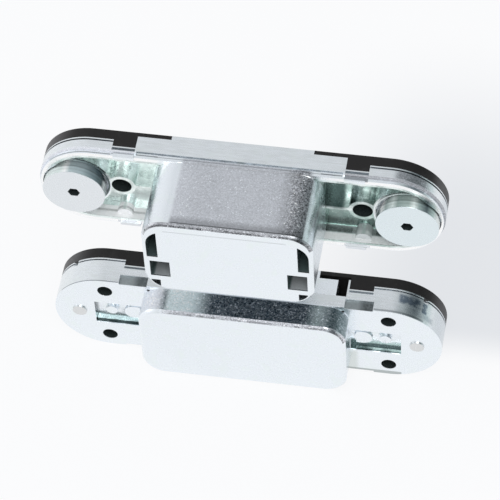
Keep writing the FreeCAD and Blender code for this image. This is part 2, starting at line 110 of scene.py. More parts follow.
class HingeZinc(bpy.types.PropertyGroup):
    plate: colour("Zinc", (0.87, 0.915, 0.955), "Bright zinc plating")
    green: colour("Passivation", (0.86, 0.93, 0.91), "Tint of the passivated pockets")
    # Painted shade: the plating where a hollow shades it, and where it is darkest
    shade: colour("Hollows", (0.30, 0.38, 0.36), "Plating in the bottom of a hollow")
    deep: colour("Deep", (0.07, 0.11, 0.105), "Darkest plating of a hollow")
    # Painted shade on the walls of the frame half's windows
    dark: colour("Dark", (0.015, 0.028, 0.028), "Walls of the frame half's windows")
    # Painted shade in the grooves and seams round the halves
    line: colour("Lines", (0.12, 0.14, 0.16), "Grooves and seams round the halves")
    # Painted shade on the ledges of the door half's lower side
    ledge_shade: colour("Dull", (0.74, 0.76, 0.79), "Ledges that face away from the light")
    # Painted shade: dark bluish grey where the frame box's long wall lies under the door half
    blue: colour("Blued skin", (0.10, 0.122, 0.142), "Dark skin on the frame box's long wall")
    # Painted shade inside the screw holes and sockets
    hole: colour("Holes", (0.030, 0.040, 0.040), "Inside of screw holes and sockets")
    # Painted shade inside the door box's openings
    inside: colour("Inside", (0.07, 0.10, 0.10), "Bare inside of the door box's openings")
    pale: colour("Pale inside", (0.34, 0.36, 0.37), "Where light reaches into a window")
    steel: colour("Steel", (0.62, 0.64, 0.66), "Turned pins and rollers")
    stake: colour("Stakes", (0.80, 0.81, 0.81), "Ends of the riveted stakes")
    bevel: length("Edge", 0.15 * MM, "Radius that the casting's edges are broken to")
    wave: length("Waviness", 9.0 * MM, "Distance between the swells of the cast surface")
    grain: length("Grain", 0.35 * MM, "Size of the plating's grain")


class HingePlastic(bpy.types.PropertyGroup):
    black: colour("Black", (0.012, 0.011, 0.011), "Moulded end caps")
    sheen: colour("Sheen", (0.020, 0.019, 0.019), "Where the cap's skirt is polished")
    # Painted reflection: the caps' curved ends catch the room at a grazing angle
    ends: colour("Ends", (0.125, 0.122, 0.125), "Skirt at the ends of the caps")
    bush: colour("Bush", (0.80, 0.79, 0.74), "Plain washers")
    grain: length("Grain", 0.12 * MM, "Size of the moulded texture")
    bevel: length("Edge", 0.30 * MM, "Radius of the caps' edges")


class HingeStage(bpy.types.PropertyGroup):
    floor: colour("Floor", (0.81, 0.82, 0.85), "Table top")
    seen: colour("Backdrop", (0.99, 0.993, 1.0), "Table as the camera and the metal see it")
    # Painted shadow on the backdrop to the right of the hinge
    backdrop_shadow: colour("Dusk", (0.78, 0.80, 0.83), "Backdrop on the side away from the light")
    room: colour("Room", (0.62, 0.64, 0.66), "Light of the room round the table")
    hold: share("Backdrop share", 0.90, "How much of the table's look is the backdrop's colour")
    key: power("Key", 3.6, "Power of the large soft lamp")
    fill: power("Fill", 1.2, "Power of the side lamp")


class Flow:
    """A socket of a shader tree, usable in sums; node() makes any other node."""

    def __init__(self, tree, socket=None):
        self.tree = tree
        self.socket = socket

    def node(self, kind, settings=None, links=None, out=0):
        made = self.tree.nodes.new(kind)
        for key, value in (settings or {}).items():
            if key == "stops":
                set_stops(made.color_ramp, value)
            else:
                setattr(made, key, value)
        for key, value in (links or {}).items():
            if isinstance(value, Flow):
                self.tree.links.new(value.socket, made.inputs[key])
            else:
                made.inputs[key].default_value = value
        return Flow(self.tree, made.outputs[out])

    def math(self, operation, first, second, clamp=False):
        settings = {"operation": operation, "use_clamp": clamp}
        return self.node("ShaderNodeMath", settings, {0: first, 1: second})

    def __add__(self, other):
        return self.math("ADD", self, other)

    __radd__ = __add__

    def __sub__(self, other):
        return self.math("SUBTRACT", self, other)

    def __rsub__(self, other):
        return self.math("SUBTRACT", other, self)

    def __mul__(self, other):
        return self.math("MULTIPLY", self, other)

    __rmul__ = __mul__

    def __truediv__(self, other):
        return self.math("DIVIDE", self, other)

    def above(self, edge, soft):
        """0 below edge - soft, 1 above edge + soft."""
        links = {0: self, 1: edge - soft, 2: edge + soft, 3: 0.0, 4: 1.0}
        return self.node("ShaderNodeMapRange", {"interpolation_type": "SMOOTHSTEP"}, links)

    def within(self, low, high, soft):
        """1 between low and high, falling to 0 outside."""
        return self.above(low, soft) * (1.0 - self.above(high, soft))

    def curve(self, stops):
        """A smooth run of values along this one, which goes from 0 to 1."""
        settings = {"stops": stops}
        return self.node("ShaderNodeValToRGB", settings, {0: self})

    def most(self, other):
        """The larger of this value and another."""
        return self.math("MAXIMUM", self, other)

    def mix(self, first, second):
        """A colour between two, with this value as the factor."""
        settings = {"data_type": "RGBA"}
        links = {0: self, 6: first, 7: second}
        return self.node("ShaderNodeMix", settings, links, 2)

    def between(self, first, second):
        """A grey between two, with this value as the factor."""
        return self.mix(rgba(level(first)), rgba(level(second)))

    def red(self):
        """A colour's red part, which is the value of a grey."""
        return self.node("ShaderNodeSeparateColor", None, {0: self})


def set_stops(ramp, stops):
    """Stops of (place, value or colour) for a colour ramp."""
    while len(ramp.elements) < len(stops):
        ramp.elements.new(0.5)
    for element, (place, value) in zip(ramp.elements, stops):
        element.position = place
        element.color = rgba(value if isinstance(value, tuple) else level(value))


def level(value):
    return (value, value, value)


def rgba(colour_value):
    return (*colour_value, 1.0)


def blend(flow, kind, first, second):
    """Two colours added or multiplied, part by part."""
    settings = {"data_type": "RGBA", "blend_type": kind}
    return flow.node("ShaderNodeMix", settings, {0: 1.0, 6: first, 7: second}, 2)


def new_finish(name, metallic, roughness):
    """A material with an empty tree but for its Principled shader; returns it and a Flow."""
    material = bpy.data.materials.new(name)
    material.use_nodes = True
    shader = material.node_tree.nodes["Principled BSDF"]
    shader.inputs["Metallic"].default_value = metallic
    shader.inputs["Roughness"].default_value = roughness
    return material, shader, Flow(material.node_tree)


def noise(flow, place, size, detail=3.0, rough=0.5, out=0):
    links = {"Vector": place, "Scale": 1.0 / size, "Detail": detail, "Roughness": rough}
    return flow.node("ShaderNodeTexNoise", None, links, out)


def bump(flow, height, distance, strength=1.0, normal=None):
    links = {"Height": height, "Distance": distance, "Strength": strength}
    if normal is not None:
        links["Normal"] = normal
    return flow.node("ShaderNodeBump", None, links)


def feed(flow, shader, **links):
    """Link values to the shader's inputs."""
    names = {"base": "Base Color", "rough": "Roughness", "metal": "Metallic", "normal": "Normal"}
    for key, value in links.items():
        flow.tree.links.new(value.socket, shader.inputs[names[key]])


class Zone:
    """Where a point of a half is, in mm: along it, behind its front, and from its middle."""

    def __init__(self, flow, middle):
        self.flow = flow
        self.place = flow.node("ShaderNodeTexCoord", out=3)
        parts = flow.node("ShaderNodeSeparateXYZ", None, {0: self.place})
        x, y, z = [Flow(flow.tree, output) for output in parts.socket.node.outputs]
        self.x = x / MM
        self.depth = (FRONT - y) / MM
        self.z = (z - middle) / MM
        self.out = flow.math("ABSOLUTE", self.x, 0.0)
        self.away = flow.math("ABSOLUTE", self.z, 0.0)
        self.edge = self.far((self.out - END_CENTRE).most(0.0), self.z)

    def far(self, first, second):
        """Length of the line with these two sides."""
        return self.flow.math("SQRT", first * first + second * second, 0.0)

    def patch(self, soft, **ranges):
        """1 inside a box of places, 0 outside; each range is (low, high) along x, depth, z,
        out (from the middle of the length), away (from the half's middle) or edge (from the
        line between the round ends' centres)."""
        mask = 1.0
        for axis, (low, high) in ranges.items():
            mask = mask * getattr(self, axis).within(low, high, soft)
        return mask

    def spot(self, x, z, radius, soft):
        """1 round one place of the half, whatever the depth."""
        return 1.0 - self.far(self.x - x, self.z - z).above(radius, soft)

    def bore(self, hole):
        """1 inside a round hole, given as (x, z, radius) at both ends and on both sides."""
        x, z, radius = hole
        return 1.0 - self.far(self.out - x, self.away - z).above(radius + 0.12, 0.05)

    def noise(self, size, detail=3.0, rough=0.5):
        return noise(self.flow, self.place, size * MM, detail, rough)

    def drawn(self, size):
        """Noise drawn out along the length, for the streaks that dies leave on a casting."""
        links = {"Vector": self.place, "Scale": (0.10, 1.0, 1.0)}
        stretched = self.flow.node("ShaderNodeMapping", None, links)
        return noise(self.flow, stretched, size * MM, 3.0, 0.6)

    def cells(self, size):
        """A random value from 0 to 1 for each grain of that size."""
        links = {"Vector": self.place, "Scale": 1.0 / (size * MM)}
        made = self.flow.node("ShaderNodeTexVoronoi", {"feature": "F1"}, links, 1)
        return self.flow.node("ShaderNodeSeparateXYZ", None, {0: made})


def grit(zone, tone, spread):
    """Cast skin: grains lighter and darker than tone by spread, and a few painted glints."""
    grains = zone.cells(CAST_GRAIN)
    cloud = zone.noise(0.8, 4.0, 0.75)
    value = tone + ((grains - 0.5) * 0.7 + (cloud - 0.5)) * spread
    painted_glint = grains.above(0.95, 0.02) * zone.noise(2.2, 2.0).above(0.5, 0.15)
    return value + painted_glint * spread * 0.8


def grey(flow, value):
    """A cool grey, as bright zinc looks in a white room."""
    parts = {0: value * 0.975, 1: value, 2: value * 1.06}
    return flow.node("ShaderNodeCombineColor", None, parts)


def painted(zone, base, marks):
    """The base colour with soft-edged marks over it, each (colour, share, soft, ranges)."""
    for tint, share_of, soft, ranges in marks:
        base = (zone.patch(soft, **ranges) * share_of).mix(base, rgba(tint))
    return base


def door_groove_and_ledge_shade(zinc):
    """Painted shade in the grooves and seams that run round the door half's side, and on its
    lower ledges.
    """
    line = tuple(zinc.line)
    ledge_shade = tuple(zinc.ledge_shade)
    return (
        (line, 0.85, 0.05, {"edge": SIDE, "out": (34.8, FAR), "depth": (3.50, 4.02)}),
        (line, 0.80, 0.05, {"edge": SIDE, "out": (28.4, 34.7), "depth": (5.70, 6.20)}),
        (line, 0.75, 0.05, {"edge": SIDE, "out": (NEAR, 22.0), "depth": (6.38, 6.70)}),
        (line, 0.55, 0.05, {"edge": SIDE, "x": (-23.0, 26.0), "depth": (7.25, 7.50)}),
        (line, 0.70, 0.05, {"edge": SIDE, "out": (22.0, 27.9), "depth": (6.35, 6.60)}),
        (line, 0.75, 0.05, {"edge": SIDE, "out": (22.0, 27.9), "depth": (7.10, 7.45)}),
        (line, 0.45, 0.05, {"edge": SIDE, "x": (-46.0, -34.8), "depth": (6.60, 6.78)}),
        (line, 0.65, 0.05, {"edge": (13.9, FAR), "x": (-52.0, -34.8), "depth": (7.72, 8.05)}),
        (line, 0.55, 0.05, {"edge": SIDE, "x": (-34.7, -28.4), "depth": (7.40, 7.70)}),
        (line, 0.70, 0.10, {"edge": SIDE, "x": (28.4, 34.7), "depth": (7.40, 8.45)}),
        (ledge_shade, 0.90, 0.10, {"z": LEDGE, "out": (28.2, 34.8), "depth": (7.45, 9.1)}),
    )


def door_skin(zone, base):
    """The grainy cast skin on the box's long wall, with painted reflection and shade; returns it
    with its mask.
    """
    flat = zone.away.above(14.2, 0.2) * zone.x.above(CORNER - DOOR_BOX_END + 1.3, 0.6)
    flat = flat * (1.0 - zone.x.above(19.5, 1.0))
    corner = zone.x.above(DOOR_BOX_END - CORNER, 0.5) * zone.away.above(9.3, 0.8)
    corner = corner * zone.patch(0.2, x=(0.0, DOOR_BOX_END - 2.7),
                                 depth=(DOOR_FLANGE + 0.2, FAR))
    wall = flat.most(corner) * zone.patch(0.12, depth=(6.85, DOOR_BACK - 0.95))
    along = (zone.x + DOOR_BOX_END) / (2 * DOOR_BOX_END)
    # Painted reflection and shade along the wall: light at the left, dark at the right fillet
    tone = along.curve(((0.14, 0.75), (0.30, 0.645), (0.60, 0.665), (0.76, 0.645),
                        (0.86, 0.385), (0.94, 0.34), (1.0, 0.60)))
    # Painted shade towards the back edge, just before it, and along the flange
    shade = zone.depth.above(DOOR_BACK - 3.0, 1.2) * 0.35
    shade = shade + zone.patch(0.12, depth=(DOOR_BACK - 1.35, DOOR_BACK - 0.9)) * 0.4
    shade = shade + zone.patch(0.05, depth=(DOOR_FLANGE - 0.1, DOOR_FLANGE + 0.2)) * 0.25
    spread = 0.27 + zone.x.within(15.0, 21.0, 1.5) * 0.48
    shaded = grit(zone, tone, spread) * (1.0 - shade)
    base = wall.mix(base, grey(zone.flow, shaded))
    base = mottled_rim_shade(zone, base, DOOR_BACK, 0.42, 0.42)
    # Painted shadow line along the back face
    crease_shadow = zone.patch(0.08, depth=(DOOR_BACK - 0.05, FAR), z=(11.35, 11.85),
                        x=(-17.0, 16.0))
    return (crease_shadow * 0.35).mix(base, rgba((0.40, 0.43, 0.45))), wall


def mottled_rim_shade(zone, base, back, tone, spread):
    """Uneven plating on the broken edge of a box's upper long side, greyed with painted shade.
    """
    edge = zone.patch(0.06, depth=(back - 0.95, back - 0.06), z=(9.0, FAR))
    edge = edge * zone.x.above(-22.0, 3.0)
    # Painted shade in patches on the edge's back part
    shadow = zone.noise(1.6, 3.0, 0.6).above(0.45, 0.1)
    shadow = shadow * zone.patch(0.08, depth=(back - 0.45, FAR))
    return edge.mix(base, grey(zone.flow, grit(zone, tone, spread) - shadow * 0.28))


def pocket_greens_and_shade(zone, zinc, right):
    """Tints of the cast pockets, with painted shade: pale at the left end, deep at the right
    one.
    """
    # Painted shade, most of it in the right pocket: in the pockets' bottoms, in soft clouds and
    # over the right one's lower part
    hollow = zone.depth.within(DOOR_FLOOR - 0.1, 5.4, 0.7) * right.between(0.06, 0.55)
    cloud = zone.noise(4.5, 3.0, 0.6).above(0.50, 0.10) * right.between(0.40, 0.75)
    cloud = cloud * (1.0 - zone.patch(1.0, x=(-50.0, -20.0), z=(-14.0, -5.0)) * 0.6)
    green = hollow.most(cloud).mix(rgba(zinc.green), rgba(zinc.shade))
    lower = zone.patch(0.6, x=(20.0, 42.0), z=(-13.0, -0.6)) * 0.6
    green = lower.mix(green, rgba((0.36, 0.52, 0.47)))
    # Painted shadow in the right pocket's corner by the box, and a softer one below it
    shadow_blob = zone.patch(0.7, x=(20.0, 27.8), z=(-0.2, 6.6)) * 0.85
    shadow_blob = shadow_blob + zone.spot(26.5, -6.5, 2.4, 2.2) * 0.4
    return shadow_blob.mix(green, rgba(zinc.deep))


def pocket_walls(zone, right, base):
    """Painted bands of light and shade on the pockets' lower walls; returns them with their
    mask.
    """
    place = {"z": (-13.2, -9.0), "edge": (10.4, 12.9)}
    wall = zone.patch(0.15, x=(22.0, 46.0), depth=(2.95, DOOR_FLANGE - 0.1), **place)
    wall = wall + zone.patch(0.15, x=(-50.0, -22.0), depth=(4.3, DOOR_FLANGE - 0.1), **place)
    depth = zone.depth / 10.0
    left_bands = depth.curve(((0.55, 1.0), (0.58, 0.60), (0.62, 0.60), (0.65, 1.0)))
    right_bands = depth.curve(((0.30, 0.34), (0.37, 0.13), (0.44, 0.06), (0.52, 0.08),
                               (0.58, 1.0)))
    bands = right.mix(left_bands, right_bands).red()
    tone = grit(zone, bands, 0.16)
    # Greener where the painted shade is deepest, in the right pocket
    green_in_shade = 1.0 - right * (1.0 - bands) * 0.16
    green_shaded_bands = zone.flow.node("ShaderNodeCombineColor", None, {0: tone * green_in_shade, 1: tone, 2: tone})
    return wall.mix(base, green_shaded_bands), wall


def foot_wells(zone, right, base):
    """Shade in the wells that the foot screws stand in; returns it with its mask."""
    across = (zone.out - FOOT) * (2.0 * right - 1.0) / 20.0 + 0.5
    shadow = across.curve(((0.05, (0.95, 1.0, 0.98)), (0.40, (0.80, 0.90, 0.87)),
                           (0.62, (0.30, 0.40, 0.40)), (0.90, (0.10, 0.15, 0.15))))
    ring = zone.far(zone.out - FOOT, zone.z).within(FOOT_RADIUS, FOOT_RADIUS + 0.75, 0.05)
    ring = ring * zone.patch(0.1, depth=(5.5, DOOR_FLANGE - 0.15))
    return ring.mix(base, shadow), ring


def door_pockets(zone, zinc, base):
    """Colour of the cast pockets, with painted light and shade; returns it with a mask of their
    matt parts.
    """
    right = zone.x.above(0.0, 1.0)
    pocket = zone.patch(0.1, depth=(DOOR_FLOOR - 0.2, DOOR_FLANGE - 0.15), edge=(NEAR, 12.75))
    lip = zone.patch(0.08, depth=(DOOR_FLANGE - 0.2, DOOR_FLANGE + 0.1), edge=(12.4, 13.35))
    well = 1.0 - zone.far(zone.out - FOOT, zone.z).above(FOOT_RADIUS + 1.0, 0.1)
    pocket = pocket.most(lip) * zone.out.above(DOOR_BOX_END - CORNER, 0.1) * (1.0 - well)
    base = (pocket * 0.97).mix(base, pocket_greens_and_shade(zone, zinc, right))
    base, wall = pocket_walls(zone, right, base)
    # Painted shade: grey over the right pocket's lower column, dimming its bright reflection
    column = zone.patch(0.15, x=(29.8, 36.2), z=(-12.55, -8.6), depth=(3.2, DOOR_FLANGE - 0.6))
    base = (column * 0.8).mix(base, rgba((0.62, 0.66, 0.655)))
    # Painted highlight: white along the flange's back edge
    rim = zone.patch(0.08, depth=(DOOR_FLANGE - 0.2, DOOR_FLANGE + 0.1), edge=(13.4, 14.5))
    base = rim.mix(base, rgba(WHITE))
    base, ring = foot_wells(zone, right, base)
    return base, ring.most(wall)


def streaked(zone, base, deep):
    """The plate's and flange's long sides, greyer and streaked along, down to that depth."""
    side = zone.patch(0.08, edge=SIDE, depth=(NEAR, deep))
    share_of = side * (0.25 + zone.drawn(0.5).above(0.5, 0.22) * 0.45)
    return share_of.mix(base, rgba((0.70, 0.73, 0.735)))


def door_tones(zone, zinc, base):
    """Colour of the door half's casting by place, with masks of its grainy and matt parts."""
    base = streaked(zone, base, 6.4)
    base, wall = door_skin(zone, base)
    base, matt = door_pockets(zone, zinc, base)
    base = painted(zone, base, door_groove_and_ledge_shade(zinc))
    # Painted light and shade on the shoulders of the side: lighter at the left end, darker at
    # the right
    shoulder = zone.patch(0.08, edge=SIDE, out=(28.4, FAR), depth=(6.50, 7.42))
    tone = zone.x.above(0.0, 1.0).between(0.78, 0.46).red()
    base = shoulder.mix(base, grey(zone.flow, grit(zone, tone, 0.30)))
    end = zone.patch(0.10, edge=SIDE, depth=(4.1, 6.4)) * zone.x.within(42.0, 50.0, 1.0)
    base = (end * 0.9).mix(base, grey(zone.flow, grit(zone, 0.42, 0.45)))
    # Painted shade: the right lower ledge is made matt and pale grey, in place of its bright
    # reflection
    ledge = zone.patch(0.08, z=LEDGE, x=(28.0, 35.0), depth=(7.45, 9.1))
    base = ledge.mix(base, rgba((0.86, 0.88, 0.90)))
    return base, wall.most(end * 0.6), matt.most((shoulder * 0.8).most(ledge))


def door_openings(zone):
    """Masks of the screw holes, of the box's openings, and of where light gets into these."""
    screws = zone.bore(DOOR_SCREW) * zone.patch(0.05, depth=(NEAR, 6.75))
    inside = zone.patch(0.05, depth=(12.0, DOOR_BACK - 0.3), away=(NEAR, 11.2),
                        out=(15.75, 21.95))
    slope = zone.x - zone.z * 0.5
    lit = slope.within(-16.3, 0.0, 0.4) + slope.above(20.6, 0.4)
    return screws, inside, lit * zone.patch(0.1, z=(-9.0, -1.0))


def frame_groove_shade(zinc):
    """Painted shade in the grooves and seams that run round the frame half's side."""
    line = tuple(zinc.line)
    left = {"x": (-53.0, -36.2), "z": (2.0, FAR)}
    right = {"x": (36.2, 50.0), "z": (4.0, FAR)}
    return (
        (line, 0.85, 0.05, {"edge": SIDE, "out": (35.5, FAR), "depth": (3.85, 4.32)}),
        (line, 0.80, 0.05, {"edge": SIDE, "out": (28.6, 35.4), "depth": (5.62, 6.10)}),
        (line, 0.70, 0.08, {"edge": SIDE, "depth": (11.3, 11.6), **left}),
        (line, 0.55, 0.20, {"edge": SIDE, "depth": (10.9, 11.5), **right}),
    )


def frame_wall(zone, zinc, base):
    """The box's long wall, with painted reflection and shade: pale at its left, then dark bluish
    grey and dusty; returns it with its mask.
    """
    wall = zone.patch(0.12, depth=(FRAME_PLANE + 0.25, FRAME_BACK - 0.95))
    wall = wall * zone.away.above(9.0, 0.7) * zone.patch(0.1, out=(NEAR, FRAME_BOX_END - 0.2))
    along = (zone.x + FRAME_BOX_END) / (2 * FRAME_BOX_END)
    blue = tuple(zinc.blue)
    # Painted reflection and shade along the wall: a pale left fillet cut by a dark line, the
    # dark bluish grey, then greys with a dark band at the right fillet
    tint = along.curve(((0.0, (0.80, 0.83, 0.88)), (0.10, (0.80, 0.83, 0.88)),
                        (0.125, (0.26, 0.30, 0.32)), (0.145, (0.76, 0.86, 0.88)),
                        (0.26, (0.70, 0.80, 0.82)), (0.35, blue), (0.80, blue),
                        (0.86, (0.42, 0.49, 0.50)), (0.90, (0.30, 0.35, 0.37)),
                        (0.93, (0.14, 0.18, 0.20)), (1.0, (0.38, 0.44, 0.46))))
    # Fine grains, with painted glints on them
    dust_and_glints = grit(zone, 0.0, 0.36) + zone.cells(0.30).above(0.94, 0.02) * 0.38
    speckled = blend(zone.flow, "ADD", tint, grey(zone.flow, dust_and_glints))
    base = wall.mix(base, speckled)
    return mottled_rim_shade(zone, base, FRAME_BACK, 0.62, 0.60), wall


def frame_recesses(zone, base):
    """Streaked grey in the recesses of the ends' long sides, darker in parts as painted shade;
    returns it with its mask.
    """
    recess = zone.patch(0.05, depth=(8.7, 11.6), away=(14.1, 14.7), out=(28.0, 36.0))
    # Painted shade in the inner part of the left recess and the outer part of the right one
    dark = zone.x.within(-31.5, 0.0, 1.5) + zone.x.above(32.5, 1.2)
    toned = dark.mix(rgba((0.42, 0.46, 0.47)), rgba((0.11, 0.125, 0.13)))
    streaky = zone.noise(0.7, 4.0, 0.7).above(0.5, 0.2) * 0.6
    return recess.mix(base, streaky.mix(toned, rgba((0.30, 0.33, 0.34)))), recess


def frame_bluish_streaks(zone, base):
    """Dark bluish streaks on the right end's round side, and painted shade at that end's lower
    edge.
    """
    high = (6.0, FAR)
    streak = zone.patch(0.5, depth=(4.9, 7.9), x=(42.8, 48.8), z=high)
    streak = streak + zone.patch(0.25, depth=(5.2, 8.6), x=(49.2, 50.6), z=high)
    streak = streak + zone.patch(0.4, depth=(8.6, 10.4), x=(47.0, 52.5), z=high) * 0.4
    streak = streak * (0.35 + zone.noise(1.6, 5.0, 0.7).above(0.47, 0.08) * 0.65)
    base = (streak * 0.85).mix(base, rgba((0.13, 0.18, 0.25)))
    plane = zone.patch(0.05, depth=(FRAME_PLANE - 0.1, FRAME_PLANE + 0.1))
    # Painted shade on the flange beside the box, and a painted shadow along its lower edge
    corner = zone.patch(0.9, x=(27.0, 31.5), z=(-15.0, -5.4)) * plane
    base = (corner * 0.75).mix(base, rgba((0.66, 0.71, 0.69)))
    hem = zone.patch(0.2, x=(27.0, 44.0), z=(-15.0, -13.55)) * plane
    return (hem * 0.75).mix(base, rgba((0.34, 0.38, 0.37)))


def frame_windows(zone, zinc, base):
    """Shade on the lower walls and the outer ends of the windows that hold the tongues."""
    wall = {"z": (-4.85, -4.6)}
    pale = zone.x.above(0.0, 1.0).mix(rgba((0.62, 0.76, 0.75)), rgba(zinc.shade))
    strip = zone.patch(0.04, depth=(9.6, 11.5), out=(29.0, 44.0), **wall)
    base = strip.mix(base, pale)
    dark = zone.patch(0.04, depth=(10.4, 11.5), x=(-44.0, -29.0), **wall)
    dark = dark + zone.patch(0.04, depth=(9.6, 11.4), x=(29.0, 43.9), **wall)
    dark = dark * (1.0 - zone.patch(0.1, x=(31.0, FAR), depth=(10.3, 11.1)) * 0.75)
    end = zone.patch(0.04, depth=(9.65, 11.5), away=(NEAR, 4.8), out=(43.8, 44.05))
    return ((dark + end) * 0.93).mix(base, rgba(zinc.dark))


def frame_tones(zone, zinc, base):
    """Colour of the frame half's casting by place, with a mask of its grainy parts."""
    base = streaked(zone, base, FRAME_PLANE - 0.2)
    base, wall = frame_wall(zone, zinc, base)
    base, recess = frame_recesses(zone, base)
    base = frame_bluish_streaks(zone, base)
    base = frame_windows(zone, zinc, base)
    base = painted(zone, base, frame_groove_shade(zinc))
    return base, wall.most(recess), None


def foot_tones(centre, face, stops):
    """Plating of one foot screw: its face, and painted reflections in bands round its matt side,
    as it mirrors the room.
    """
    def tones(zone, zinc, base):
        base = zone.patch(0.08, depth=(10.7, FAR)).mix(base, rgba(face))
        side = zone.far(zone.x - centre, zone.z).above(FOOT_NECK - 0.3, 0.05)
        side = side * zone.patch(0.08, depth=(5.2, 10.7))
        across = (zone.x - centre) / (2 * FOOT_RADIUS) + 0.5
        deep = zone.depth / 12.0
        # Painted light and shade in bands along the side's depth
        depth_shading = deep.curve(((0.50, 0.85), (0.64, 0.80), (0.67, 0.45), (0.71, 0.55),
                             (0.74, 1.0), (0.80, 0.80), (0.83, 1.0), (0.89, 0.90)))
        shaded = blend(zone.flow, "MULTIPLY", across.curve(stops), depth_shading)
        return side.mix(base, shaded), None, side

    return tones


def foot_openings(zone):
    """Mask of the sockets of the foot screws; nothing else of them is open."""
    return zone.bore(FOOT_SOCKET) * zone.patch(0.05, depth=(NEAR, 10.7)), None, None


def frame_openings(zone):
    """Mask of the frame half's screw holes; its windows are toned by frame_windows."""
    screws = zone.bore(FRAME_SCREW) * zone.patch(0.05, depth=(NEAR, FRAME_PLANE - 0.15))
    return screws, None, None


def zinc_finish(name, zinc, middle=0.0, tones=None, openings=None):
    """Bright zinc plating over a die casting: swells, fine grain, faint green in places.

    tones colours a piece by place, and also gives masks of its grainy and of its matt parts.
    openings gives masks of its holes, of its openings and of where light gets into these.
    """
    material, shader, flow = new_finish(name, 1.0, 0.3)
    zone = Zone(flow, middle)
    swell = noise(flow, zone.place, zinc.wave, 2.0)
    blotch = noise(flow, zone.place, zinc.wave * 0.45, 4.0, 0.6)
    grain = noise(flow, zone.place, zinc.grain, 3.0, 0.6)
    sparkle = noise(flow, zone.place, zinc.grain * 2.6, 2.0, 0.5)
    base = (blotch.above(0.60, 0.12) * 0.5).mix(rgba(zinc.plate), rgba(zinc.green))
    rough = 0.16 + 0.18 * blotch + 0.04 * grain
    normal = bump(flow, swell, SWELL_HEIGHT)
    height = grain * 0.5 + sparkle * 0.5
    normal = bump(flow, height, GRAIN_HEIGHT, 0.12, normal)
    matt = None
    if tones:
        base, rind, matt = tones(zone, zinc, base)
        if rind:
            rough = rough + rind * 0.20
            normal = bump(flow, zone.cells(CAST_GRAIN) * rind, CAST_HEIGHT, 0.8, normal)
    if openings:
        hole, inside, lit = openings(zone)
        # Painted shade: holes and openings are dark and matt, paler where light gets in
        base = hole.mix(base, rgba(zinc.hole))
        matt = hole.most(matt or 0.0)
        if inside:
            base = inside.mix(base, lit.mix(rgba(zinc.inside), rgba(zinc.pale)))
            matt = matt.most(inside)
    if matt:
        feed(flow, shader, metal=1.0 - matt)
    feed(flow, shader, base=base, rough=rough, normal=normal)
    return material


def plastic_finish(name, plastic, base, sheen, roughness, ends=None):
    """Moulded plastic; ends is the colour that its skirt takes at the hinge's two ends, a
    painted reflection.
    """
    material, shader, flow = new_finish(name, 0.0, roughness)
    shader.inputs["Specular IOR Level"].default_value = 0.25
    zone = Zone(flow, DOOR_MIDDLE)
    grain = noise(flow, zone.place, plastic.grain, 2.0)
    worn = noise(flow, zone.place, 4.0 * MM, 3.0, 0.6).above(0.62, 0.12)
    tone = worn.mix(rgba(base), rgba(sheen))
    # Painted reflection on the skirt at both ends, stronger at the left
    if ends:
        left = (0.0 - zone.x).above(49.5, 4.5)
        skirt = left.most(zone.x.above(52.5, 2.0) * 0.7)
        tone = (skirt * (0.75 + 0.25 * worn)).mix(tone, rgba(ends))
    feed(flow, shader, base=tone, rough=roughness - 0.08 + 0.12 * grain,
         normal=bump(flow, grain, MOULD_HEIGHT, 0.5))
    return material


def steel_finish(name, steel):
    """Turned steel: fine rings round the X axis show as streaks."""
    material, shader, flow = new_finish(name, 1.0, 0.3)
    place = flow.node("ShaderNodeTexCoord", out=3)
    mapped = flow.node("ShaderNodeMapping", None, {"Vector": place, "Scale": (9000, 300, 300)})
    lines = noise(flow, mapped, 1.0, 2.0)
    tone = lines.mix(rgba([part * 0.82 for part in steel]), rgba(steel))
    feed(flow, shader, base=tone, rough=0.22 + 0.18 * lines,
         normal=bump(flow, lines, TURNED_HEIGHT))
    return material


def dress(node, material, bevel):
    """A finish and broken edges for a CAD node, whose own mesh stays as it is."""
    piece = NODES[node]
    piece.data.materials.clear()
    piece.data.materials.append(material)
    weld = piece.modifiers.new("Weld", "WELD")
    weld.merge_threshold = WELD_GAP
    edge = piece.modifiers.new("Broken edges", "BEVEL")
    edge.width = bevel
    edge.segments = 2
    edge.limit_method = "ANGLE"
    edge.angle_limit = BEVEL_ANGLE
    edge.harden_normals = False
    piece.modifiers.new("Even normals", "WEIGHTED_NORMAL").keep_sharp = False


# The foot screws' faces, and the painted reflections that run across their sides in bands from
# left to right
FOOT_FACES = {"left": (0.786, 0.818, 0.843), "right": (0.761, 0.838, 0.866)}
FOOT_SIDE_REFLECTIONS = {
    "left": ((0.0, (0.74, 0.82, 0.80)), (0.32, (0.72, 0.80, 0.78)), (0.39, WHITE),
             (0.46, (0.50, 0.59, 0.61)), (0.66, (0.44, 0.53, 0.56)), (0.86, (0.14, 0.20, 0.22)),
             (0.95, (0.05, 0.08, 0.09)), (0.98, (0.90, 0.95, 0.95)), (1.0, (0.20, 0.25, 0.27))),
    "right": ((0.0, (0.10, 0.16, 0.16)), (0.05, (0.12, 0.18, 0.18)), (0.09, WHITE),
              (0.16, (0.40, 0.49, 0.47)), (0.27, (0.80, 0.88, 0.86)), (0.34, (0.36, 0.45, 0.43)),
              (0.52, (0.46, 0.56, 0.53)), (0.60, (0.88, 0.96, 0.93)), (0.68, (0.34, 0.43, 0.42)),
              (0.80, (0.07, 0.10, 0.11)), (0.90, (0.42, 0.55, 0.52)), (0.96, (0.9, 0.95, 0.93))),
}


